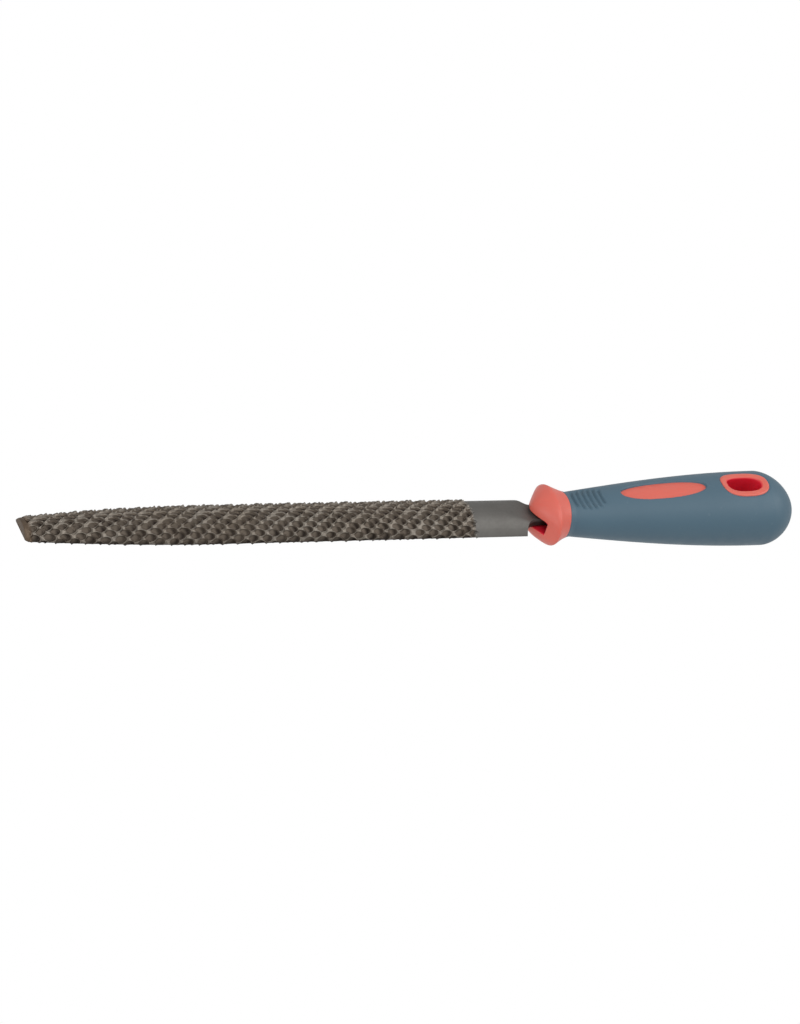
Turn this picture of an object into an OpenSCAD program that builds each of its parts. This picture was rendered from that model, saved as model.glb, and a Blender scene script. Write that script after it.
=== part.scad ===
// Half-round wood rasp with a two-shot moulded handle.
// X runs from the blade tip to the butt, Z is up on the convex side of the blade.
// The origin is the middle of the bounding box at its lowest level.

/* [Blade] */
// Length of the blade from the tip to the shoulder corner
blade_length = 200; // [150:1:300]
// Width of the blade over its parallel part
blade_width = 21; // [16:0.5:30]
// Height of the half-round section over its parallel part
blade_height = 6; // [4:0.1:9]
// Width of the blade at the tip
tip_width = 14; // [8:0.5:28]
// Height of the half-round section at the tip
tip_height = 4.2; // [2:0.1:8]
// Length over which the blade narrows to the tip
taper_length = 68; // [20:1:120]
// Chamfer on the convex edge of the tip
tip_chamfer = 0.9; // [0:0.1:2]
// Length over which the crown falls towards the tang
heel_fall = 12; // [5:0.5:25]

/* [Tang] */
// Width of the tang where it leaves the shoulder
tang_width = 8.4; // [5:0.1:12]
// Height of the tang at the shoulder
tang_height = 2.9; // [2:0.1:5]
// Length of the tang from the shoulder corner
tang_length = 62; // [30:1:90]
// Width at the end of the tang
tang_end_width = 3; // [1.5:0.1:6]
// Height at the end of the tang
tang_end_height = 2.2; // [1:0.1:4]

/* [Handle] */
// Length of the handle from collar face to butt
handle_length = 116.5; // [90:0.5:150]
// Distance from the shoulder corner to the collar face
collar_gap = 3.5; // [0:0.5:15]
// Half width of the handle at its widest
butt_half_width = 16.3; // [12:0.1:22]
// Half thickness of the handle at its thickest
butt_half_height = 13.8; // [8:0.1:18]
// Half width of the neck behind the collar
neck_half_width = 9.5; // [7:0.1:15]
// Half thickness of the neck behind the collar
neck_half_height = 8.1; // [5:0.1:12]
// Half width of the collar rim
rim_half_width = 13.4; // [9:0.1:20]
// Half thickness of the collar rim
rim_half_height = 10.5; // [7:0.1:16]
// Distance from the collar face to the rim
rim_depth = 8.2; // [4:0.1:14]
// Distance from the collar face to the seam between collar and grip
seam_depth = 14.3; // [12:0.1:20]
// Distance from the collar face to the narrowest part of the neck
neck_depth = 16.7; // [15:0.1:26]
// Wall of the soft grip over the core
grip_wall = 2.2; // [1.2:0.1:4]

/* [Tang slot] */
// Width of the slot mouth in the collar
slot_width = 17.8; // [10:0.1:20]
// Height of the slot mouth in the collar
slot_height = 5.6; // [4:0.1:9]
// Depth of the wide slot mouth
slot_depth = 14; // [4:0.5:20]

/* [Windows] */
// Length of the oval window in the grip
window_length = 37; // [15:0.5:60]
// Width of the oval window in the grip
window_width = 10.4; // [4:0.1:16]
// Distance from the collar face to the middle of the window
window_middle = 56; // [40:0.5:80]
// How far the window pad sits below the grip
window_recess = 0.5; // [0:0.1:1]

/* [Hanging eye] */
// Length of the eye liner
eye_length = 20.6; // [14:0.1:30]
// Width of the eye liner
eye_width = 13.6; // [8:0.1:20]
// Length of the hole
hole_length = 14.6; // [8:0.1:26]
// Width of the hole
hole_width = 7.8; // [4:0.1:16]
// Distance from the collar face to the middle of the eye
eye_middle = 91.8; // [70:0.1:110]

/* [Grip grooves] */
// Number of crescent grooves on each face
groove_count = 6; // [1:1:8]
// Pitch of the grooves
groove_pitch = 2.3; // [1.5:0.1:4]
// Depth of the grooves
groove_depth = 0.6; // [0.2:0.1:1]
// Width of a groove
groove_width = 1; // [0.5:0.1:2]
// Half length of the longest groove
groove_reach = 6; // [3:0.1:9]
// Radius of the groove arcs seen from above
groove_radius = 12; // [10:0.5:40]
// Distance from the collar face to the first groove
groove_start = 17.3; // [16:0.1:30]

/* [Hidden] */
sides = 40;
arc_steps = 20;
// level of the handle axis above the flat of the blade
axis_level = 2.2;
total_length = blade_length + collar_gap + handle_length;
tip_x = -total_length / 2;
shoulder_x = tip_x + blade_length;
collar_x = shoulder_x + collar_gap;
butt_x = total_length / 2;
flat_z = butt_half_height - axis_level;
axis_z = butt_half_height;
butt_round = 15;
butt_power = 1.75;
nose_share = 0.27;
body_end = handle_length - butt_round;
eye_x = collar_x + eye_middle;
window_x = collar_x + window_middle;

// Which node to draw

function smooth(u) = u <= 0 ? 0 : u >= 1 ? 1 : u * u * (3 - 2 * u);
function mix(a, b, u) = a + (b - a) * u;

// Blade: half-round ring morphing to a rectangle
function plan_half(x) =
    x < -blade_length + taper_length
    ? let(u = (-blade_length + taper_length - x) / taper_length)
      mix(blade_width / 2, tip_width / 2, pow(u, 1.6))
    : x <= 0
    ? blade_width / 2
    : x < 6.5
    ? let(u = x / 6.5)
      mix(blade_width / 2, tang_width / 2, pow(sin(90 * u), 0.55))
    : mix(tang_width / 2, tang_end_width / 2, (x - 6.5) / (tang_length - 6.5));
function crown(x) =
    x < -blade_length + taper_length
    ? let(u = (-blade_length + taper_length - x) / taper_length)
      mix(blade_height, tip_height, pow(u, 1.6))
    : x <= -heel_fall
    ? blade_height
    : x < 4
    ? mix(blade_height, tang_height, pow((x + heel_fall) / (heel_fall + 4), 1.8))
    : mix(tang_height, tang_end_height, (x - 4) / (tang_length - 4));
function arc_z(y, w, h) =
    let(r = (w * w + h * h) / (2 * h))
    sqrt(max(0, r * r - y * y)) - (r - h);
function full_point(k, w, h) =
    let(
        r = (w * w + h * h) / (2 * h),
        half = asin(min(1, w / r)),
        t = -half + 2 * half * k / arc_steps
    )
    [r * sin(t), r * cos(t) - (r - h)];
function walled_point(k, w, h) =
    let(
        s = 2 * k / arc_steps - 1,
        y = w * max(-1, min(1, s / 0.8)),
        top = arc_z(w, blade_width / 2, h),
        z = abs(s) <= 0.8 ? arc_z(y, blade_width / 2, h) : top * (1 - abs(s)) / 0.2
    )
    [y, z];
function ring_point(x, k, w, h) =
    let(p = x <= 0 ? full_point(k, w, h) : walled_point(k, w, h))
    [x + shoulder_x, p[0], p[1] + flat_z];
blade_stations = concat(
    [-blade_length],
    [-blade_length + tip_chamfer],
    [for (i = [1:8]) -blade_length + taper_length * i / 8],
    [-100, -66, -36, -heel_fall],
    [for (i = [1:5]) -heel_fall + heel_fall * i / 5],
    [0.05, 0.2, 0.5, 1, 1.8, 3, 4.5, 6.5],
    [9, 20, 35, 50, tang_length - 1, tang_length]
);
function station_shrink(i) =
    i == 0 ? tip_chamfer : i == len(blade_stations) - 1 ? 0.5 : 0;
module rasp_blade()
    color([0.45, 0.43, 0.4])
    {
        n = arc_steps + 1;
        m = len(blade_stations);
        rings = [
            for (i = [0:m - 1], k = [0:arc_steps])
                ring_point(
                    blade_stations[i],
                    k,
                    plan_half(blade_stations[i]) - station_shrink(i) * 0.6,
                    crown(blade_stations[i]) - station_shrink(i)
                )
        ];
        points = concat(
            rings,
            [
                [tip_x, 0, flat_z + tip_height / 3],
                [shoulder_x + tang_length, 0, flat_z + tang_end_height / 3]
            ]
        );
        skin = [
            for (i = [0:m - 2], k = [0:arc_steps - 1])
                [i * n + k, i * n + k + 1, (i + 1) * n + k + 1, (i + 1) * n + k]
        ];
        floor_faces = [
            for (i = [0:m - 2])
                [i * n, (i + 1) * n, (i + 1) * n + arc_steps, i * n + arc_steps]
        ];
        front = [for (k = [0:arc_steps]) [m * n, (k + 1) % n, k]];
        back = [for (k = [0:arc_steps]) [m * n + 1, (m - 1) * n + k, (m - 1) * n + (k + 1) % n]];
        polyhedron(points, concat(skin, floor_faces, front, back));
    }

// Handle skin: half width and half thickness against distance from the collar face
function swell(x) = sin(90 * min(1, max(0, x - neck_depth) / (body_end - neck_depth)));
function butt(x) =
    x <= body_end ? 1 : pow(max(0.001, 1 - pow((x - body_end) / butt_round, butt_power)), 1 / butt_power);
function nose(x) = nose_share + (1 - nose_share) * x / rim_depth;
function flare(x) = pow(1 - (x - rim_depth) / (neck_depth - rim_depth), 1.4);
function skin_size(x, rim, neck, full) =
    x <= rim_depth
    ? rim * nose(x)
    : x <= neck_depth
    ? neck + (rim - neck) * flare(x)
    : (neck + (full - neck) * swell(x)) * butt(x);
function skin_half(x, inset) = [
    max(0.02, skin_size(x, rim_half_width, neck_half_width, butt_half_width) - inset),
    max(0.02, skin_size(x, rim_half_height, neck_half_height, butt_half_height) - inset)
];
collar_stations = concat(
    [for (i = [0:3]) rim_depth * i / 3],
    [for (i = [1:6]) rim_depth + (seam_depth - rim_depth) * i / 6]
);
grip_stations = concat(
    [seam_depth, (seam_depth + neck_depth) / 2],
    [for (i = [0:10]) neck_depth + (body_end - neck_depth) * i / 10],
    [for (i = [1:9]) body_end + butt_round * sin(9.2 * i)],
    [handle_length]
);
module loft(stations, inset)
{
    m = len(stations);
    points = [
        for (i = [0:m - 1], k = [0:sides - 1])
            let(h = skin_half(stations[i], inset), t = 360 * k / sides)
            [collar_x + stations[i], h[0] * cos(t), axis_z + h[1] * sin(t)]
    ];
    skin = [
        for (i = [0:m - 2], k = [0:sides - 1])
            let(j = (k + 1) % sides)
            [i * sides + k, (i + 1) * sides + k, (i + 1) * sides + j, i * sides + j]
    ];
    front = [for (k = [0:sides - 1]) k];
    back = [for (k = [0:sides - 1]) m * sides - 1 - k];
    polyhedron(points, concat(skin, [front], [back]), convexity = 6);
}
core_stations = concat(
    [seam_depth - 1, (seam_depth + neck_depth) / 2],
    [for (i = [0:7]) neck_depth + (body_end + 5 - neck_depth) * i / 7],
    [body_end + 8, body_end + 10]
);
window_stations = [for (i = [0:6]) window_middle + (window_length / 2 + 2) * (i / 3 - 1)];
module core_body() loft(core_stations, grip_wall);
module oval_prism(middle, length, width, low, high)
    translate([middle, 0, low])
    scale([length / 2, width / 2, 1])
    cylinder(h = high - low, r = 1, $fn = 48);
// Rounded outline between an ellipse and a rectangle
function egg(middle, length, width, power) = [
    for (k = [0:47])
        let(t = 7.5 * k, c = cos(t), s = sin(t))
        [
            middle + length / 2 * sign(c) * pow(abs(c), 2 / power),
            width / 2 * sign(s) * pow(abs(s), 2 / power)
        ]
];
module eye_prism(length, width, low, high)
    translate([0, 0, low])
    linear_extrude(height = high - low)
    polygon(egg(eye_x, length, width, 2.6));
module core_solid()
    union()
    {
        loft(collar_stations, 0);
        core_body();
        intersection()
        {
            loft(window_stations, window_recess);
            oval_prism(window_x, window_length, window_width, -5, 50);
        }
        intersection()
        {
            loft(grip_stations, 0);
            eye_prism(eye_length, eye_width, -5, 50);
        }
    }
module tang_cut()
{
    translate([collar_x - 5, -slot_width / 2, axis_z - slot_height / 2])
    cube([slot_depth + 5, slot_width, slot_height]);
    rasp_blade();
}
module handle_core()
    color([0.86, 0.4, 0.34])
    difference()
    {
        core_solid();
        eye_prism(hole_length, hole_width, -5, 50);
        tang_cut();
    }
module groove(i, side)
{
    lift = skin_half(groove_start + i * groove_pitch, 0)[1];
    along = (i - (groove_count - 1) / 2) / (groove_count / 2 + 0.6);
    reach = groove_reach * sqrt(1 - along * along);
    sweep = asin(reach / groove_radius);
    translate([
        collar_x + groove_start + i * groove_pitch + groove_radius,
        0,
        axis_z + side * (lift + 3 - groove_depth)
    ])
    rotate([0, 0, 180 - sweep])
    rotate_extrude(angle = 2 * sweep, $fn = 60)
    translate([groove_radius - groove_width / 2, -3])
    square([groove_width, 6]);
}
module handle_grip()
    color([0.34, 0.44, 0.5])
    difference()
    {
        loft(grip_stations, 0);
        core_body();
        eye_prism(eye_length, eye_width, -5, 50);
        oval_prism(window_x, window_length, window_width, -5, 50);
        for (i = [0:groove_count - 1], side = [-1, 1])
            groove(i, side);
    }

rasp_blade();
handle_core();
handle_grip();
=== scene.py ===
"""Half-round wood rasp: toothed steel blade, hard coral core and soft blue-grey grip.

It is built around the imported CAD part. Lengths inside the shape functions are millimetres: x is measured from the
blade's shoulder corner along the tool, y across it, and z from the flat of the blade. MM turns them into the
frame's metres.
"""

import math

import bpy
import numpy as np
from mathutils import Matrix, Vector

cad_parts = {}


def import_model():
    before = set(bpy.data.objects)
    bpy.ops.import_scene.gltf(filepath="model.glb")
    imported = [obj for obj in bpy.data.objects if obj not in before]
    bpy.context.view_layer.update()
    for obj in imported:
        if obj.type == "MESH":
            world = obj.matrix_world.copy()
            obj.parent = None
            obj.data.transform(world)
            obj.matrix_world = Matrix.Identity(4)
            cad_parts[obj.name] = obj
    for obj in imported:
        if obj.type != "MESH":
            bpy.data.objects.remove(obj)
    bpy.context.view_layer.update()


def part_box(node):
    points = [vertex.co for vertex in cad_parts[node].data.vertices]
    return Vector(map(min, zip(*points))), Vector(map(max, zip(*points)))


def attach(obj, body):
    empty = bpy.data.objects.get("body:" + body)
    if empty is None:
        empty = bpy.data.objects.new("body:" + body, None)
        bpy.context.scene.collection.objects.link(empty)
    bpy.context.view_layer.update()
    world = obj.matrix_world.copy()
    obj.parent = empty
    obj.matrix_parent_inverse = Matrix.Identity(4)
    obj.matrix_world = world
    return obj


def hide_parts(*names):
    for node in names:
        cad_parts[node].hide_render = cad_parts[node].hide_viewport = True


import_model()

MM = 0.001

# Places taken from the frame
blade_low, blade_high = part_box("rasp_blade")
core_low, core_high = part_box("handle_core")
grip_low, grip_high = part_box("handle_grip")
BLADE_LENGTH = 200.0
SHOULDER = blade_low[0] + BLADE_LENGTH * MM
FLAT = blade_low[2]
AXIS_Z = ((core_low[2] + core_high[2]) / 2 - FLAT) / MM
COLLAR = (core_low[0] - SHOULDER) / MM
SEAM = (grip_low[0] - SHOULDER) / MM
BUTT = (grip_high[0] - SHOULDER) / MM
BUTT_A = (grip_high[1] - grip_low[1]) / MM / 2
BUTT_B = (core_high[2] - core_low[2]) / MM / 2

# Handle: half widths (A), half thicknesses (B) and places along it
RIM_A = 13.8
RIM_B = 10.8
RIM = COLLAR + 8.2
FACE_ROUND = 3.5
FACE_POWER = 3.4
NECK = COLLAR + 16.7
NECK_A = 9.5
NECK_B = 8.1
FLARE_POWER = 1.4
BUTT_ROUND = 15.0
BUTT_POWER = 1.75
GRIP_WALL = 2.2
GRIP_END = BUTT - 7.0
CORE_END = BUTT - 7.15
FIT_GAP = 0.02
HANDLE_LEAN = 0.0125
LEAN_FROM = 45.0
SEAM_WAVE = 0.4
SLOT_HALF_WIDTH = 8.5
SLOT_HALF_HEIGHT = 2.8
SLOT_DEPTH = 14.0
SLOT_LIP = 0.45
SLOT_POWER = 9

# Windows, hanging eye and finger grooves
WINDOW_MIDDLE = COLLAR + 56.0
WINDOW_HALF_LENGTH = 18.5
WINDOW_HALF_WIDTH = 4.95
WINDOW_POWER = 2.2
WINDOW_RECESS = 1.0
EYE_MIDDLE = COLLAR + 91.8
EYE_HALF_LENGTH = 10.3
EYE_HALF_WIDTH = 6.8
HOLE_HALF_LENGTH = 7.3
HOLE_HALF_WIDTH = 3.9
EYE_POWER = 2.6
GROOVES = 6
GROOVE_PITCH = 2.3
GROOVE_START = COLLAR + 17.2
GROOVE_RADIUS = 12.0
GROOVE_REACH = 6.0
GROOVE_DEPTH = 0.85
GROOVE_HALF = 0.75

# Blade
BODY_HALF = blade_high[1] / MM
HEIGHT = (blade_high[2] - blade_low[2]) / MM - 0.25
TIP_HALF = 6.4
TIP_SKEW = 0.5
TIP_HEIGHT = 3.8
TAPER = 68.0
HEEL_FALL = 13.0
TANG_HALF = 4.2
TANG_HEIGHT = 3.5
TANG_LENGTH = (blade_high[0] - SHOULDER) / MM
TANG_END_HALF = 1.5
TANG_END_HEIGHT = 2.2
TAPER_POWER = 1.6
SHOULDER_LENGTH = 6.5
HEEL_END = 4.0
HEEL_TOP = 0.25
HEEL_POWER = 1.5
WALL_FROM = 0.8
BLADE_SIDES = 176
FLAT_SIDES = 110

# Teeth
TOOTH_PITCH = 5.7
TOOTH_ROW = 2.0
TOOTH_STAGGER = 0.42
TOOTH_END = -21.6
PIT_LENGTH = 4.5
PIT_HALF = 1.5
PIT_DEPTH = 0.75
PIT_POWER = 1.8
BURR_HEIGHT = 0.8
ROW_LEAN = 0.052


def smooth(u):
    u = np.clip(u, 0.0, 1.0)
    return u * u * (3 - 2 * u)


def chance(i, j, salt):
    """A repeatable random number from 0 to 1 for each pair of whole numbers."""
    v = np.sin(i * 127.1 + j * 311.7 + salt * 74.7) * 43758.5453
    return v - np.floor(v)


# ---------------------------------------------------------------- meshes


def ring_mesh(name, rings, layers=None):
    """A closed mesh through rings of the same number of points, with a fan over each end."""
    rings = np.asarray(rings, float)
    m, n, _ = rings.shape
    ends = np.stack([rings[0].mean(0), rings[-1].mean(0)])
    points = np.concatenate([rings.reshape(-1, 3), ends])
    i, k = np.meshgrid(np.arange(m - 1), np.arange(n), indexing="ij")
    j = (k + 1) % n
    quads = np.stack([i * n + k, (i + 1) * n + k, (i + 1) * n + j, i * n + j], -1).reshape(-1, 4)
    k = np.arange(n)
    j = (k + 1) % n
    front = np.stack([np.full(n, m * n), k, j], -1)
    back = np.stack([np.full(n, m * n + 1), (m - 1) * n + j, (m - 1) * n + k], -1)
    corners = np.concatenate([quads.ravel(), front.ravel(), back.ravel()])
    totals = np.concatenate([np.full(len(quads), 4), np.full(2 * n, 3)])
    starts = np.concatenate([[0], np.cumsum(totals)[:-1]])
    mesh = bpy.data.meshes.new(name)
    mesh.vertices.add(len(points))
    mesh.vertices.foreach_set("co", points.ravel())
    mesh.loops.add(len(corners))
    mesh.loops.foreach_set("vertex_index", corners.astype(np.int32))
    mesh.polygons.add(len(totals))
    mesh.polygons.foreach_set("loop_start", starts.astype(np.int32))
    mesh.polygons.foreach_set("loop_total", totals.astype(np.int32))
    mesh.polygons.foreach_set("use_smooth", np.ones(len(totals), bool))
    mesh.update(calc_edges=True)
    mesh.validate()
    if layers is not None:
        colour = np.ones((len(points), 4))
        colour[: m * n, :3] = layers.reshape(-1, 3)
        colour[m * n :, :3] = layers[[0, -1]].mean(1)
        attribute = mesh.color_attributes.new("relief", "FLOAT_COLOR", "POINT")
        attribute.data.foreach_set("color", colour.ravel())
    obj = bpy.data.objects.new(name, mesh)
    bpy.context.collection.objects.link(obj)
    return obj


def to_frame(x, y, z):
    """Shape millimetres to frame metres."""
    return np.stack([SHOULDER + x * MM, y * MM, FLAT + z * MM], -1)


def to_handle(x, y, z):
    """The same for the handle, which leans a little upwards from the blade's flat towards the butt."""
    return to_frame(x, y, z + HANDLE_LEAN * (x - LEAN_FROM))


def cut(obj, cutter):
    """Takes the cutter's solid out of obj for good."""
    modifier = obj.modifiers.new("cut", "BOOLEAN")
    modifier.operation = "DIFFERENCE"
    modifier.solver = "MANIFOLD"
    modifier.object = cutter
    graph = bpy.context.evaluated_depsgraph_get()
    mesh = bpy.data.meshes.new_from_object(obj.evaluated_get(graph))
    obj.modifiers.clear()
    obj.data = mesh
    mesh.polygons.foreach_set("use_smooth", np.ones(len(mesh.polygons), bool))


def join(name, parts):
    """One object from several, keeping the first one's material."""
    with bpy.context.temp_override(active_object=parts[0], selected_editable_objects=parts, object=parts[0]):
        bpy.ops.object.join()
    parts[0].name = parts[0].data.name = name
    return parts[0]


# ---------------------------------------------------------------- blade shape


def blade_half(x):
    taper = np.clip((-BLADE_LENGTH + TAPER - x) / TAPER, 0, 1)
    body = BODY_HALF - (BODY_HALF - TIP_HALF) * taper**TAPER_POWER
    shoulder = np.clip(x / SHOULDER_LENGTH, 0, 1)
    fall = np.sin(shoulder * math.pi / 2) ** 0.42
    tang = np.clip((x - SHOULDER_LENGTH) / (TANG_LENGTH - SHOULDER_LENGTH), 0, 1)
    shoulder_half = BODY_HALF + (TANG_HALF - BODY_HALF) * fall
    tang_half = TANG_HALF + (TANG_END_HALF - TANG_HALF) * tang
    return np.where(x <= 0, body, np.where(x < SHOULDER_LENGTH, shoulder_half, tang_half))


def blade_crown(x):
    taper = np.clip((-BLADE_LENGTH + TAPER - x) / TAPER, 0, 1)
    return HEIGHT - (HEIGHT - TIP_HEIGHT) * taper**TAPER_POWER


def heel_limit(x):
    """The level that cuts the blade's arc from above as the heel falls to the tang."""
    fall = np.clip((x + HEEL_FALL) / (HEEL_FALL + HEEL_END), 0, 1) ** HEEL_POWER
    tang = np.clip((x - HEEL_END) / (TANG_LENGTH - HEEL_END), 0, 1)
    rise = 0.5 * np.maximum(-HEEL_FALL - x, 0)
    top = HEIGHT + HEEL_TOP
    return top - (top - TANG_HEIGHT) * fall - (TANG_HEIGHT - TANG_END_HEIGHT) * tang + rise


def soft_lower(a, b, ease=0.6):
    """The lower of two heights, with the change from one to the other rounded."""
    return 0.5 * (a + b - np.sqrt((a - b) ** 2 + ease * ease))


def tooth_field(u, v, strength):
    """Height, pit share and burr share of the punched teeth at u along the blade's surface and v across it.

    Each tooth is an oval pit, deepest towards the heel, that ends in a raised crescent."""
    row = np.round(v / TOOTH_ROW)
    pits = np.zeros_like(u)
    burrs = np.zeros_like(u)
    for dj in (-1, 0, 1):
        j = row + dj
        stagger = np.mod(j * TOOTH_STAGGER, 1.0)
        base = np.round(u / TOOTH_PITCH - stagger)
        for di in (-1, 0, 1, 2):
            i = base + di
            du = u - (i + stagger) * TOOTH_PITCH - (chance(i, j, 1) - 0.5) * 0.55
            dv = v - j * TOOTH_ROW - (chance(i, j, 2) - 0.5) * 0.3
            turn = (chance(i, j, 3) - 0.5) * 0.28
            du, dv = du + dv * turn, dv - du * turn
            size = 0.9 + 0.2 * chance(i, j, 4)
            # the pit is an oval scoop, deepest at its heel side
            along = 1 + 2 * du / (PIT_LENGTH * size)
            aside = np.abs(dv / (PIT_HALF * size))
            oval = (np.abs(along) ** PIT_POWER + aside**PIT_POWER) ** (1 / PIT_POWER)
            slope = np.clip((along + 1) / 2, 0, 1)
            pit = smooth((1 - oval) / 0.3) * (0.3 + 0.7 * slope**1.8)
            pits = np.maximum(pits, pit * (0.8 + 0.35 * chance(i, j, 5)))
            # the burr is a crescent of raised metal round the heel side
            ridge = (oval - 1) * PIT_HALF * 1.1
            side = np.where(ridge < 0, np.exp(-((ridge / 0.17) ** 2)), np.exp(-((ridge / 0.3) ** 2)))
            burr = side * smooth((along - 0.05) / 0.7) * (0.8 + 0.35 * chance(i, j, 6))
            burrs = np.maximum(burrs, burr)
    pits *= strength
    burrs *= strength
    return BURR_HEIGHT * burrs - PIT_DEPTH * pits, pits, burrs


def tooth_strength(u, v, edge):
    """1 inside the toothed length, falling to 0 at its ends and towards the blade's edges."""
    ragged = 0.9 * np.sin(v * 1.7) + 0.6 * np.sin(v * 3.1 + 1.0)
    heel = smooth((TOOTH_END + ragged * 0.6 - u) / 0.8)
    tip = smooth((u + BLADE_LENGTH - 1.3) / 1.2)
    return heel * tip * smooth(edge / 0.35)


def blade():
    teeth_x = np.arange(-BLADE_LENGTH + 1.0, TOOTH_END + 1.4, 0.15)
    heel_x = np.concatenate([
        np.arange(teeth_x[-1] + 0.4, -0.2, 0.4),
        [0.0, 0.02, 0.06, 0.12],
        np.arange(0.2, 7.0, 0.2),
    ])
    tang_x = np.linspace(7.4, TANG_LENGTH - 0.6, 40)
    x = np.concatenate([teeth_x, heel_x, tang_x])
    crown_n, flat_n = BLADE_SIDES, FLAT_SIDES
    s = np.linspace(-1, 1, crown_n)
    w, h = blade_half(x)[:, None], blade_crown(x)[:, None]
    radius = (w * w + h * h) / (2 * h)
    half_angle = np.arcsin(np.clip(w / radius, -1, 1))
    half_angle = np.where(h <= w, half_angle, math.pi - half_angle)
    t = half_angle * s[None, :]
    arc_y, arc_z = radius * np.sin(t), radius * np.cos(t) - (radius - h)
    # past the shoulder the same arc is cut by the plan outline, with upright walls down to the flat
    walled = (x > 0)[:, None]
    wall_y = w * np.clip(s[None, :] / WALL_FROM, -1, 1)
    full_radius = (BODY_HALF**2 + h * h) / (2 * h)
    limit = heel_limit(x)[:, None]
    over = soft_lower(np.sqrt(full_radius**2 - wall_y**2) - (full_radius - h), limit)
    wall_top = soft_lower(np.sqrt(full_radius**2 - w * w) - (full_radius - h), limit)
    arc_z = np.where(np.abs(s) < 1, np.maximum(soft_lower(arc_z, limit), 0), 0)
    wall_z = np.where(np.abs(s) <= WALL_FROM, over, wall_top * (1 - np.abs(s)) / (1 - WALL_FROM))
    y, z = np.where(walled, wall_y, arc_y), np.where(walled, wall_z, arc_z)
    # teeth on the convex side
    u = np.repeat(x[:, None], crown_n, 1)
    v = radius * t
    drift = ROW_LEAN * (np.clip(u, -140, 0) + 80)
    edge = radius * half_angle - np.abs(v)
    height, pits, burrs = tooth_field(u + 0.35 * np.sin(v * 0.9), v + drift, tooth_strength(u, v, edge))
    y, z = y + height * np.sin(t), z + height * np.cos(t)
    # teeth on the flat side
    q = np.linspace(1, -1, flat_n + 2)[1:-1]
    fy = w * q[None, :]
    fu = np.repeat(x[:, None], flat_n, 1)
    edge = w - np.abs(fy)
    fh, fp, fb = tooth_field(fu + 1.3, fy - drift[:, :1] + 0.4, tooth_strength(fu, fy, edge + 0.35))
    fz = -fh * 0.8
    ring_y, ring_z = np.concatenate([y, fy], 1), np.concatenate([z, fz], 1)
    # the edges between the two sides are eased
    n = crown_n + flat_n
    weight = np.zeros(n)
    for corner in (0, crown_n - 1):
        from_corner = (np.arange(n) - corner + n // 2) % n - n // 2
        weight = np.maximum(weight, np.exp(-((from_corner / 1.6) ** 2)))
    tang_weight = weight.copy()
    for corner in (0.1 * crown_n, 0.9 * crown_n):
        tang_weight = np.maximum(tang_weight, np.exp(-(((np.arange(n) - corner) / 1.6) ** 2)))
    weights = np.where(walled, tang_weight, weight)
    for _ in range(3):
        for a in (ring_y, ring_z):
            a += 0.5 * weights * ((np.roll(a, 1, 1) + np.roll(a, -1, 1)) / 2 - a)
    all_pits, all_burrs = np.concatenate([pits, fp], 1), np.concatenate([burrs, fb], 1)
    layer = np.stack([all_pits, all_burrs, np.zeros((len(x), n))], -1)
    layer[:, :, 2] = smooth((-BLADE_LENGTH + 3.6 - x) / 2.4)[:, None]
    # the ends: a chamfered tip face, cut a little out of square, and a chamfered tang end
    ring_x = x[:, None] - TIP_SKEW * ring_y / TIP_HALF * smooth((-BLADE_LENGTH + 9 - x) / 8)[:, None]
    rings = to_frame(ring_x, ring_y, ring_z)
    tip = [(0.0, 0.55), (0.0, 0.8), (0.02, 0.86), (0.12, 0.9), (0.5, 0.95)]
    slant = -TIP_SKEW * ring_y[0] / TIP_HALF
    rows = [ease_end(ring_y[0], ring_z[0], -BLADE_LENGTH + dx + slant * k, k) for dx, k in tip]
    tail = [(0.1, 0.98), (0.45, 0.9), (0.5, 0.86), (0.52, 0.6)]
    ends = [ease_end(ring_y[-1], ring_z[-1], x[-1] + dx, k) for dx, k in tail]
    rings = np.concatenate([np.stack(rows), rings, np.stack(ends)])
    layer = np.concatenate([np.repeat(layer[:1], len(rows), 0), layer, np.repeat(layer[-1:], len(ends), 0)])
    layer[: len(rows), :, 2] = 1
    return ring_mesh("rasp_blade_toothed", rings, layer)


def ease_end(y, z, x, keep):
    """An end ring drawn in towards the section's middle, keeping the flat nearly where it is."""
    middle = z.max() * 0.45
    return to_frame(x + np.zeros_like(y), y * keep, np.where(z > 0, middle + (z - middle) * keep, z * keep))


# ---------------------------------------------------------------- handle shape


def butt(x):
    u = np.clip((x - (BUTT - BUTT_ROUND)) / BUTT_ROUND, 0, 1)
    return np.maximum(1 - u**BUTT_POWER, 0) ** (1 / BUTT_POWER)


def body_size(x):
    """Half width and half thickness from the rim's flare, through the neck, to the butt."""
    flare = np.clip(1 - (x - RIM) / (NECK - RIM), 0, 1) ** FLARE_POWER
    swell = np.sin(np.clip((x - NECK) / (BUTT - BUTT_ROUND - NECK), 0, 1) * math.pi / 2)
    a = NECK_A + (RIM_A - NECK_A) * flare + (BUTT_A - NECK_A) * swell
    b = NECK_B + (RIM_B - NECK_B) * flare + (BUTT_B - NECK_B) * swell
    return a * butt(x), b * butt(x)


def skin_z(x, y, inset=0.0):
    """Height of the grip's upper skin above the handle axis."""
    a, b = body_size(x)
    return b * np.sqrt(np.clip(1 - (y / a) ** 2, 0, 1)) - inset


def outline_distance(x, y, half_length, half_width, power=2.0):
    """Signed distance, near enough, from a rounded outline about the origin: negative inside."""
    r = (np.abs(x / half_length) ** power + np.abs(y / half_width) ** power) ** (1 / power)
    steep = power - 1
    slope = np.hypot(np.abs(x / half_length) ** steep / half_length, np.abs(y / half_width) ** steep / half_width)
    return (r - 1) / np.maximum(slope / np.maximum(r, 1e-6) ** (power - 1), 1e-3)


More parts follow.
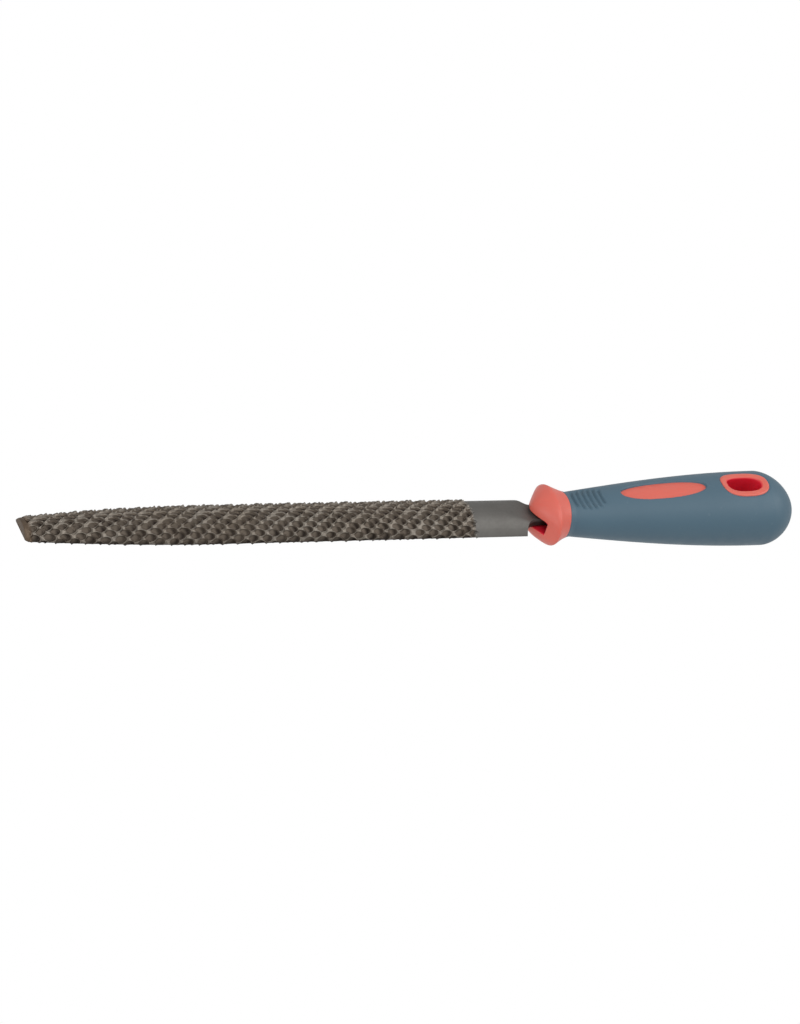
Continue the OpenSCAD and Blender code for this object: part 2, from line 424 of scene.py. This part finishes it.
def grip_relief(x, y):
    """How far the grip's skin stands below its plain form: window recess, eye joint and finger grooves."""
    window = outline_distance(x - WINDOW_MIDDLE, y, WINDOW_HALF_LENGTH, WINDOW_HALF_WIDTH, WINDOW_POWER)
    drop = 2.0 * smooth((0.05 - window) / 0.4)
    eye = outline_distance(x - EYE_MIDDLE, y, EYE_HALF_LENGTH, EYE_HALF_WIDTH, EYE_POWER) - 0.12
    joint = np.exp(-((np.minimum(eye, 0) / 0.5) ** 2)) * np.exp(-((np.maximum(eye, 0) / 0.3) ** 2))
    drop += 0.28 * joint
    for i in range(GROOVES):
        along = (i - (GROOVES - 1) / 2) / (GROOVES / 2 + 0.6)
        reach = GROOVE_REACH * math.sqrt(1 - along * along)
        ring = np.hypot(x - GROOVE_START - i * GROOVE_PITCH - GROOVE_RADIUS, y) - GROOVE_RADIUS
        shape = np.clip(1 - (ring / GROOVE_HALF) ** 2, 0, 1) ** 1.2
        shape = np.where(x < GROOVE_START + i * GROOVE_PITCH + GROOVE_RADIUS, shape, 0)
        drop += GROOVE_DEPTH * shape * smooth((reach + 0.5 - np.abs(y)) / 1.8)
    return drop


def grip():
    n = 360
    t = np.arange(n) * 2 * math.pi / n
    c, s = np.cos(t), np.sin(t)
    rings = []
    # inner wall, from the closed end of the cavity forward to the seam
    for x in np.concatenate([[GRIP_END, GRIP_END - 0.6], np.linspace(GRIP_END - 2, SEAM, 60)]):
        a, b = body_size(np.array(x))
        k = 0.5 if x == GRIP_END else 0.93 if x == GRIP_END - 0.6 else 1.0
        rings.append(to_handle(np.full(n, x), (a - GRIP_WALL) * k * c, AXIS_Z + (b - GRIP_WALL) * k * s))
    # front face and its eased edge
    for dx, inset in ((0.0, 1.2), (0.0, 0.3), (0.02, 0.14), (0.1, 0.04)):
        a, b = body_size(np.array(SEAM + dx))
        rings.append(to_handle(seam_wave(t, SEAM + dx), (a - inset) * c, AXIS_Z + (b - inset) * s))
    # outer skin
    plain = BUTT - BUTT_ROUND
    butt_xs = plain + BUTT_ROUND * np.sin(np.linspace(0, 1, 90) * math.pi / 2)
    xs = np.concatenate([np.arange(SEAM + 0.3, plain, 0.28), butt_xs])
    xs[-1] = BUTT - 0.0005
    for x in xs:
        a, b = body_size(np.array(x))
        px = seam_wave(t, x)
        y, z = a * c, b * s
        drop = grip_relief(px, y) * smooth(np.abs(s) / 0.3)
        ny, nz = c / a, s / b
        length = np.hypot(ny, nz)
        rings.append(to_handle(px, y - drop * ny / length, AXIS_Z + z - drop * nz / length))
    rings = np.stack(rings)
    return ring_mesh("handle_grip_soft", rings[:, ::-1])


def seam_wave(t, x):
    """The seam runs a little forward at the sides, and the rings behind it ease back to plain sections."""
    return x - SEAM_WAVE * np.cos(2 * t) * smooth((SEAM + 8 - x) / 8) * smooth((x - RIM) / (SEAM - RIM))


def slot_outline(c, s, grow=0.0):
    """The tang slot's rounded rectangle, met along the rays of the rim's ellipse."""
    dy, dz = RIM_A * c, RIM_B * s
    width_share, height_share = np.abs(dy / (SLOT_HALF_WIDTH + grow)), np.abs(dz / (SLOT_HALF_HEIGHT + grow))
    k = (width_share**SLOT_POWER + height_share**SLOT_POWER) ** (-1 / SLOT_POWER)
    return dy * k, dz * k


def face_x(y, z):
    """Where the collar's front face stands over a point of the section.

    It is swept back at the sides, and rounded over to the rim above and below."""
    soft = np.sqrt(y * y + FACE_ROUND**2) - FACE_ROUND
    plan = soft / (math.hypot(RIM_A, FACE_ROUND) - FACE_ROUND)
    edge = np.sqrt(np.clip(1 - (y / RIM_A) ** 2, 1e-6, 1))
    over = np.clip(np.abs(z) / (RIM_B * edge), 0, 1) ** FACE_POWER
    return COLLAR + (RIM - COLLAR) * (plan + (1 - plan) * over)


def core_body():
    n = 384
    t = np.arange(n) * 2 * math.pi / n
    c, s = np.cos(t), np.sin(t)
    rings = []
    # socket floor, slot wall and its eased lip
    y, z = slot_outline(c, s)
    for k in (0.3, 0.9):
        rings.append(to_handle(np.full(n, COLLAR + SLOT_DEPTH), y * k, AXIS_Z + z * k))
    lip = face_x(y, z)
    for k in np.linspace(1, 0, 16):
        rings.append(to_handle(lip + SLOT_LIP + (COLLAR + SLOT_DEPTH - lip - SLOT_LIP) * k, y, AXIS_Z + z))
    for angle in np.linspace(0.12, 1, 7) * math.pi / 2:
        gy, gz = slot_outline(c, s, SLOT_LIP * (1 - math.cos(angle)))
        rings.append(to_handle(face_x(gy, gz) + SLOT_LIP * (1 - math.sin(angle)), gy, AXIS_Z + gz))
    # front face out to the rim
    gy, gz = slot_outline(c, s, SLOT_LIP)
    for k in np.linspace(0, 1, 40)[1:] ** 0.9:
        y, z = gy + (RIM_A * c - gy) * k, gz + (RIM_B * s - gz) * k
        rings.append(to_handle(face_x(y, z), y, AXIS_Z + z))
    # flare to the seam
    for x in np.concatenate([RIM + np.array([0.12, 0.3, 0.6]), np.linspace(RIM + 1, SEAM - 0.12, 40)]):
        a, b = body_size(np.array(x))
        rings.append(to_handle(seam_wave(t, x), a * c, AXIS_Z + b * s))
    for dx, inset in ((0.06, 0.04), (0.0, 0.16), (0.0, 1.2)):
        a, b = body_size(np.array(SEAM - dx))
        rings.append(to_handle(seam_wave(t, SEAM - dx), (a - inset) * c, AXIS_Z + (b - inset) * s))
    # the shaft inside the grip
    for x in np.concatenate([np.linspace(SEAM, CORE_END - 2, 60), [CORE_END - 0.6, CORE_END]]):
        a, b = body_size(np.array(x))
        k = 0.45 if x == CORE_END else 0.92 if x == CORE_END - 0.6 else 1.0
        inner = GRIP_WALL + FIT_GAP
        rings.append(to_handle(np.full(n, x), (a - inner) * k * c, AXIS_Z + (b - inner) * k * s))
    body = ring_mesh("core_body", np.stack(rings)[:, ::-1])
    soften_rim(body)
    return body


def soften_rim(obj):
    """Rounds the rim's ridge by averaging the few rings beside it."""
    group = obj.vertex_groups.new(name="rim")
    places = np.empty(len(obj.data.vertices) * 3)
    obj.data.vertices.foreach_get("co", places)
    places = places.reshape(-1, 3)
    x, y, z = (places[:, 0] - SHOULDER) / MM, places[:, 1] / MM, (places[:, 2] - FLAT) / MM - AXIS_Z
    near = (np.abs(x - RIM) < 3.4) & (np.hypot(y / RIM_A, z / RIM_B) > 0.72)
    group.add(np.nonzero(near)[0].tolist(), 1.0, "REPLACE")
    modifier = obj.modifiers.new("rim", "SMOOTH")
    modifier.vertex_group = "rim"
    modifier.factor, modifier.iterations = 0.5, 40
    graph = bpy.context.evaluated_depsgraph_get()
    obj.data = bpy.data.meshes.new_from_object(obj.evaluated_get(graph))
    obj.modifiers.clear()
    obj.vertex_groups.clear()


def prism(name, half_length, half_width, power, middle, reach=40.0):
    t = np.arange(160) * 2 * math.pi / 160
    c, s = np.cos(t), np.sin(t)
    x = middle + half_length * np.sign(c) * np.abs(c) ** (2 / power)
    y = half_width * np.sign(s) * np.abs(s) ** (2 / power)
    levels = (AXIS_Z + reach, AXIS_Z - reach)
    return ring_mesh(name, np.stack([to_handle(x, y, np.full_like(x, z)) for z in levels]))


def window_pad(side):
    """The coral pad that fills the window on the upper (1) or lower (-1) face."""
    t = np.arange(144) * 2 * math.pi / 144
    rings = []
    face = [(k, WINDOW_RECESS) for k in np.linspace(0.02, 1.06, 26)]
    root = [(1.07, 1.4), (1.07, 2.1), (0.5, 3.0), (0.02, 3.0)]
    for k, inset in face + root:
        c, s = np.cos(t), np.sin(t)
        x = WINDOW_MIDDLE + WINDOW_HALF_LENGTH * k * np.sign(c) * np.abs(c) ** (2 / WINDOW_POWER)
        y = WINDOW_HALF_WIDTH * k * np.sign(s) * np.abs(s) ** (2 / WINDOW_POWER)
        z = skin_z(x, y, inset)
        rings.append(to_handle(x, y, AXIS_Z + side * z))
    rings = np.stack(rings)
    return ring_mesh("pad", rings if side > 0 else rings[:, ::-1])


def eye_liner():
    """The coral tube through the butt: flush rims on both faces, rolled over into the hole."""
    t = np.arange(200) * 2 * math.pi / 200
    c, s = np.cos(t), np.sin(t)
    ux, uy = np.sign(c) * np.abs(c) ** (2 / EYE_POWER), np.sign(s) * np.abs(s) ** (2 / EYE_POWER)

    def outline(k):
        half_l = EYE_HALF_LENGTH + (HOLE_HALF_LENGTH - EYE_HALF_LENGTH) * k
        half_w = EYE_HALF_WIDTH + (HOLE_HALF_WIDTH - EYE_HALF_WIDTH) * k
        return EYE_MIDDLE + half_l * ux, half_w * uy

    half = [(0.0, -1.6), (0.0, -0.3), (0.015, -0.1), (0.05, 0.02), (0.1, 0.07), (0.18, 0.08), (0.3, 0.04)]
    half += [(0.45, -0.08), (0.6, -0.24), (0.74, -0.44)]
    bends = np.linspace(0.15, 1.0, 8) * math.pi / 2
    half += [(0.74 + 0.26 * math.sin(a), -0.44 - 0.9 * (1 - math.cos(a))) for a in bends]
    rows = []
    for side in (1, -1):
        part = []
        for k, lift in half:
            x, y = outline(k)
            part.append(to_handle(x, y, AXIS_Z + side * (skin_z(x, y) + lift)))
        rows.append(part)
    upper, lower = rows
    wall = [upper[-1] + (lower[-1] - upper[-1]) * f for f in np.linspace(0, 1, 14)[1:-1]]
    rings = np.stack(upper + wall + lower[::-1] + [upper[0]])
    return tube_mesh("liner", rings[:-1])


def tube_mesh(name, rings):
    """A closed ring-shaped mesh: rings joined last to first."""
    m, n, _ = rings.shape
    i, k = np.meshgrid(np.arange(m), np.arange(n), indexing="ij")
    j, l = (k + 1) % n, (i + 1) % m
    faces = np.stack([i * n + k, i * n + j, l * n + j, l * n + k], -1).reshape(-1, 4)
    mesh = bpy.data.meshes.new(name)
    mesh.from_pydata(rings.reshape(-1, 3).tolist(), [], faces.tolist())
    mesh.polygons.foreach_set("use_smooth", np.ones(len(mesh.polygons), bool))
    obj = bpy.data.objects.new(name, mesh)
    bpy.context.collection.objects.link(obj)
    return obj


# ---------------------------------------------------------------- materials


class Nodes:
    """Short calls for building a node material."""

    def __init__(self, name):
        self.material = bpy.data.materials.new(name)
        self.material.use_nodes = True
        self.tree = self.material.node_tree
        self.shader = self.tree.nodes["Principled BSDF"]

    def add(self, kind, inputs=None, **settings):
        node = self.tree.nodes.new(kind)
        for key, value in settings.items():
            setattr(node, key, value)
        for key, value in (inputs or {}).items():
            self.feed(node, key, value)
        return node

    def feed(self, node, key, value):
        if isinstance(value, bpy.types.NodeSocket):
            self.tree.links.new(value, node.inputs[key])
        else:
            node.inputs[key].default_value = value

    def maths(self, operation, a, b=0.5, clamp=False):
        return self.add("ShaderNodeMath", {0: a, 1: b}, operation=operation, use_clamp=clamp).outputs[0]

    def place(self, scale=(1, 1, 1)):
        coordinates = self.add("ShaderNodeTexCoord").outputs["Object"]
        return self.add("ShaderNodeMapping", {"Vector": coordinates, "Scale": scale}).outputs[0]

    def noise(self, scale, detail=4.0, stretch=(1, 1, 1), rough=0.55):
        return self.add(
            "ShaderNodeTexNoise",
            {"Vector": self.place(stretch), "Scale": scale, "Detail": detail, "Roughness": rough},
        ).outputs["Fac"]

    def mix(self, share, a, b, blend="MIX"):
        node = self.add("ShaderNodeMix", data_type="RGBA", blend_type=blend)
        for index, value in ((0, share), (6, a), (7, b)):
            if isinstance(value, bpy.types.NodeSocket):
                self.tree.links.new(value, node.inputs[index])
            else:
                node.inputs[index].default_value = value if index == 0 else (*value, 1)
        return node.outputs[2]

    def spread(self, value, low, high, out_low, out_high):
        return self.add(
            "ShaderNodeMapRange",
            {"Value": value, "From Min": low, "From Max": high, "To Min": out_low, "To Max": out_high},
        ).outputs[0]

    def bump(self, height, strength, distance, normal=None):
        inputs = {"Height": height, "Strength": strength, "Distance": distance}
        if normal is not None:
            inputs["Normal"] = normal
        return self.add("ShaderNodeBump", inputs).outputs[0]

    def finish(self, **sockets):
        for key, value in sockets.items():
            self.feed(self.shader, key.replace("_", " "), value)
        return self.material


def steel():
    n = Nodes("rasp_steel")
    relief = n.add("ShaderNodeAttribute", attribute_name="relief")
    parts = n.add("ShaderNodeSeparateColor", {"Color": relief.outputs["Color"]})
    pit, burr, brown = parts.outputs
    place = n.add("ShaderNodeSeparateXYZ", {"Vector": n.add("ShaderNodeTexCoord").outputs["Object"]})
    x, z = place.outputs[0], place.outputs[2]
    heel_edge = SHOULDER + TOOTH_END * MM
    heel = n.spread(x, heel_edge - 0.0012, heel_edge - 0.0002, 0.0, 1.0)
    grain = n.noise(900, 5)
    blotch = n.noise(70, 3)
    toothed = n.mix(grain, (0.185, 0.163, 0.138), (0.315, 0.282, 0.243))
    toothed = n.mix(n.spread(blotch, 0.35, 0.7, 0.0, 0.5), toothed, (0.17, 0.135, 0.10))
    # Painted shade: the pits are darkened to brown, and to near black where deepest, and the burrs are darkened,
    # standing in for the shade in the punched hollows and on the teeth's crescents.
    toothed = n.mix(n.spread(pit, 0.05, 0.25, 0.0, 0.88), toothed, (0.082, 0.063, 0.047))
    toothed = n.mix(n.spread(pit, 0.5, 0.85, 0.0, 0.9), toothed, (0.018, 0.012, 0.009))
    toothed = n.mix(n.spread(burr, 0.6, 1.0, 0.0, 0.6), toothed, (0.05, 0.04, 0.033))
    # Painted shadow: the steel just above the flat is darkened to near black, standing in for the shadowed teeth
    # along the blade's lower edge.
    edge = n.spread(z, FLAT + 0.0001, FLAT + 0.0012, 0.9, 0.0)
    toothed = n.mix(edge, toothed, (0.02, 0.016, 0.013))
    scratches = n.noise(260, 3, (0.06, 1, 1))
    ground = n.mix(scratches, (0.108, 0.103, 0.095), (0.172, 0.166, 0.155))
    ground = n.mix(n.spread(n.noise(120, 4), 0.4, 0.75, 0.0, 0.4), ground, (0.088, 0.082, 0.075))
    # Painted shadow: the tang is darkened to near black from a few millimetres past the shoulder, and on its lower
    # sides right from the shoulder, standing in for the shade in and under the collar's slot.
    tang = n.spread(x, SHOULDER + 5.0 * MM, SHOULDER + 9.0 * MM, 0.0, 0.92)
    shade_past_shoulder = n.spread(x, SHOULDER + 0.2 * MM, SHOULDER + 1.5 * MM, 0.0, 0.92)
    side = n.maths("MULTIPLY", shade_past_shoulder, n.spread(z, FLAT + 2.6 * MM, FLAT + 1.9 * MM, 0.0, 1.0))
    tang = n.maths("MAXIMUM", tang, side)
    ground = n.mix(tang, ground, (0.03, 0.02, 0.017))
    colour = n.mix(heel, toothed, ground)
    # Darker brown at the tip: fully on the end face, easing off along the band just behind it.
    tip_brown = n.mix(n.noise(500, 4), (0.05, 0.03, 0.017), (0.13, 0.085, 0.05))
    colour = n.mix(n.spread(brown, 0.15, 0.9, 0.0, 0.85), colour, tip_brown)
    rough = n.spread(grain, 0.3, 0.7, 0.44, 0.6)
    normal = n.bump(n.noise(2600, 3), 0.25, 0.00008)
    normal = n.bump(scratches, 0.12, 0.00006, normal)
    return n.finish(Base_Color=colour, Metallic=0.72, Roughness=rough, Normal=normal)


def coral():
    n = Nodes("core_coral")
    tone = n.noise(60, 3)
    colour = n.mix(tone, (0.56, 0.104, 0.075), (0.635, 0.128, 0.093))
    place = n.add("ShaderNodeSeparateXYZ", {"Vector": n.add("ShaderNodeTexCoord").outputs["Object"]})
    x, y, z = place.outputs
    # Painted shade: inside the tang slot and the eye hole the coral is coloured a deeper, darker red, standing in
    # for the shade and the red bounce light in these recesses.
    slot_axis = FLAT + (AXIS_Z + HANDLE_LEAN * (COLLAR + 5 - LEAN_FROM)) * MM
    from_axis = n.maths("ABSOLUTE", n.maths("SUBTRACT", z, slot_axis))
    aside = n.maths("ABSOLUTE", y)
    low, high = (SLOT_HALF_HEIGHT + 0.06) * MM, (SLOT_HALF_HEIGHT + 0.28) * MM
    slot_shade = n.spread(from_axis, low, high, 1.0, 0.0)
    low, high = SLOT_HALF_WIDTH * MM, (SLOT_HALF_WIDTH + 0.25) * MM
    slot_shade = n.maths("MULTIPLY", slot_shade, n.spread(aside, low, high, 1.0, 0.0))
    low, high = SHOULDER + SEAM * MM, SHOULDER + (SEAM + 0.5) * MM
    slot_shade = n.maths("MULTIPLY", slot_shade, n.spread(x, low, high, 1.0, 0.0))
    along = n.maths("ABSOLUTE", n.maths("SUBTRACT", x, SHOULDER + EYE_MIDDLE * MM))
    along = n.maths("POWER", n.maths("DIVIDE", along, HOLE_HALF_LENGTH * MM), EYE_POWER)
    across = n.maths("POWER", n.maths("DIVIDE", aside, HOLE_HALF_WIDTH * MM), EYE_POWER)
    eye_hole_shade = n.spread(n.maths("ADD", along, across), 1.02, 1.35, 1.0, 0.0)
    colour = n.mix(n.maths("MAXIMUM", slot_shade, eye_hole_shade), colour, (0.62, 0.012, 0.03))
    normal = n.bump(n.noise(900, 2), 0.12, 0.00005)
    rough = n.spread(n.noise(300, 3), 0.3, 0.7, 0.36, 0.46)
    material = n.finish(Base_Color=colour, Roughness=rough, Normal=normal)
    n.shader.inputs["Subsurface Weight"].default_value = 0.15
    n.shader.inputs["Subsurface Radius"].default_value = (0.0022, 0.0006, 0.0004)
    n.shader.inputs["Subsurface Scale"].default_value = 1.0
    n.shader.inputs["Specular IOR Level"].default_value = 0.45
    return material


def soft_grip():
    n = Nodes("grip_soft")
    tone = n.noise(45, 3)
    colour = n.mix(tone, (0.054, 0.102, 0.139), (0.064, 0.118, 0.158))
    dust = n.noise(420, 5)
    colour = n.mix(n.spread(dust, 0.62, 0.8, 0.0, 0.18), colour, (0.17, 0.23, 0.27))
    normal = n.bump(n.noise(3400, 2), 0.3, 0.00004)
    rough = n.spread(n.noise(240, 3), 0.3, 0.7, 0.46, 0.56)
    material = n.finish(Base_Color=colour, Roughness=rough, Normal=normal)
    n.shader.inputs["Specular IOR Level"].default_value = 0.4
    return material


# ---------------------------------------------------------------- pieces

blade_piece = blade()
blade_piece.data.materials.append(steel())
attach(blade_piece, "root")
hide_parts("rasp_blade")

grip_piece = grip()
eye_cutter = prism("eye_cutter", EYE_HALF_LENGTH - 0.15, EYE_HALF_WIDTH - 0.15, EYE_POWER, EYE_MIDDLE)
cut(grip_piece, eye_cutter)
grip_piece.data.materials.clear()
grip_piece.data.materials.append(soft_grip())
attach(grip_piece, "root")
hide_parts("handle_grip")

core = core_body()
hole_cutter = prism("hole_cutter", HOLE_HALF_LENGTH + 0.6, HOLE_HALF_WIDTH + 0.6, EYE_POWER, EYE_MIDDLE)
cut(core, hole_cutter)
core_piece = join("handle_core_hard", [core, window_pad(1), window_pad(-1), eye_liner()])
core_piece.data.materials.clear()
core_piece.data.materials.append(coral())
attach(core_piece, "root")
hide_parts("handle_core")

for cutter in (eye_cutter, hole_cutter):
    bpy.data.objects.remove(cutter)


# ---------------------------------------------------------------- floor, light and camera


def floor():
    mesh = bpy.data.meshes.new("floor")
    size = 4.0
    corners = [(-size, -size, 0), (size, -size, 0), (size, size, 0), (-size, size, 0)]
    mesh.from_pydata(corners, [], [(0, 1, 2, 3)])
    plane = bpy.data.objects.new("floor", mesh)
    bpy.context.collection.objects.link(plane)
    n = Nodes("floor_white")
    material = n.finish(Base_Color=(0, 0, 0, 1), Roughness=1.0)
    n.shader.inputs["Emission Color"].default_value = (1, 1, 1, 1)
    n.shader.inputs["Specular IOR Level"].default_value = 0.0
    n.shader.inputs["Emission Strength"].default_value = 1.0
    mesh.materials.append(material)
    plane.visible_diffuse = plane.visible_glossy = False


def lamp(name, place, target, size, power):
    light = bpy.data.lights.new(name, "AREA")
    light.shape, light.size, light.energy = "DISK", size, power
    obj = bpy.data.objects.new(name, light)
    bpy.context.collection.objects.link(obj)
    direction = Vector(target) - Vector(place)
    obj.matrix_world = Matrix.Translation(place) @ direction.to_track_quat("-Z", "Y").to_matrix().to_4x4()


# How bright the surroundings are from straight below (0) to straight above (1)
SKY = ((0.0, 0.95), (0.35, 0.85), (0.5, 0.52), (0.7, 0.6), (1.0, 0.72))


def world():
    scene_world = bpy.data.worlds.new("studio")
    scene_world.use_nodes = True
    tree = scene_world.node_tree
    direction = tree.nodes.new("ShaderNodeTexCoord")
    split = tree.nodes.new("ShaderNodeSeparateXYZ")
    height = tree.nodes.new("ShaderNodeMapRange")
    height.inputs["From Min"].default_value = -1.0
    sky = tree.nodes.new("ShaderNodeValToRGB")
    steps = sky.color_ramp.elements
    while len(steps) < len(SKY):
        steps.new(0.5)
    for step, (place, strength) in zip(steps, SKY):
        step.position = place
        step.color = (strength, strength, strength, 1)
    background = tree.nodes["Background"]
    background.inputs["Color"].default_value = (1, 1, 1, 1)
    tree.links.new(direction.outputs["Generated"], split.inputs[0])
    tree.links.new(split.outputs[2], height.inputs["Value"])
    tree.links.new(height.outputs[0], sky.inputs["Fac"])
    tree.links.new(sky.outputs["Color"], background.inputs["Strength"])
    bpy.context.scene.world = scene_world


CAMERA_YAW = math.radians(24.0)
CAMERA_TILT = math.radians(41.0)
CAMERA_ROLL = math.radians(1.26)
CAMERA_DISTANCE = 1138.5 * MM
LENS = 105.47
AIM = (SHOULDER - 51.52 * MM, 0.0, FLAT + 4.88 * MM)


def camera():
    away = Vector((
        -math.sin(CAMERA_YAW),
        -math.cos(CAMERA_YAW) * math.cos(CAMERA_TILT),
        math.cos(CAMERA_YAW) * math.sin(CAMERA_TILT),
    ))
    right = (Vector((1, 0, 0)) - away * away.x).normalized()
    up = away.cross(right)
    right, up = (
        right * math.cos(CAMERA_ROLL) - up * math.sin(CAMERA_ROLL),
        right * math.sin(CAMERA_ROLL) + up * math.cos(CAMERA_ROLL),
    )
    data = bpy.data.cameras.new("camera")
    data.lens = LENS
    obj = bpy.data.objects.new("camera", data)
    turn = Matrix((right, up, away)).transposed()
    obj.matrix_world = Matrix.Translation(Vector(AIM) + away * CAMERA_DISTANCE) @ turn.to_4x4()
    bpy.context.collection.objects.link(obj)
    bpy.context.scene.camera = obj


floor()
world()
lamp("key", (-0.3, -0.6, 1.15), (0, 0, 0), 0.8, 6.5)
lamp("fill", (0.9, -0.2, 0.8), (0.1, 0, 0), 0.7, 4.5)
lamp("side", (-1.2, -0.4, 0.4), (0, 0, 0), 0.6, 3.5)
camera()
bpy.context.scene.view_settings.view_transform = "Standard"
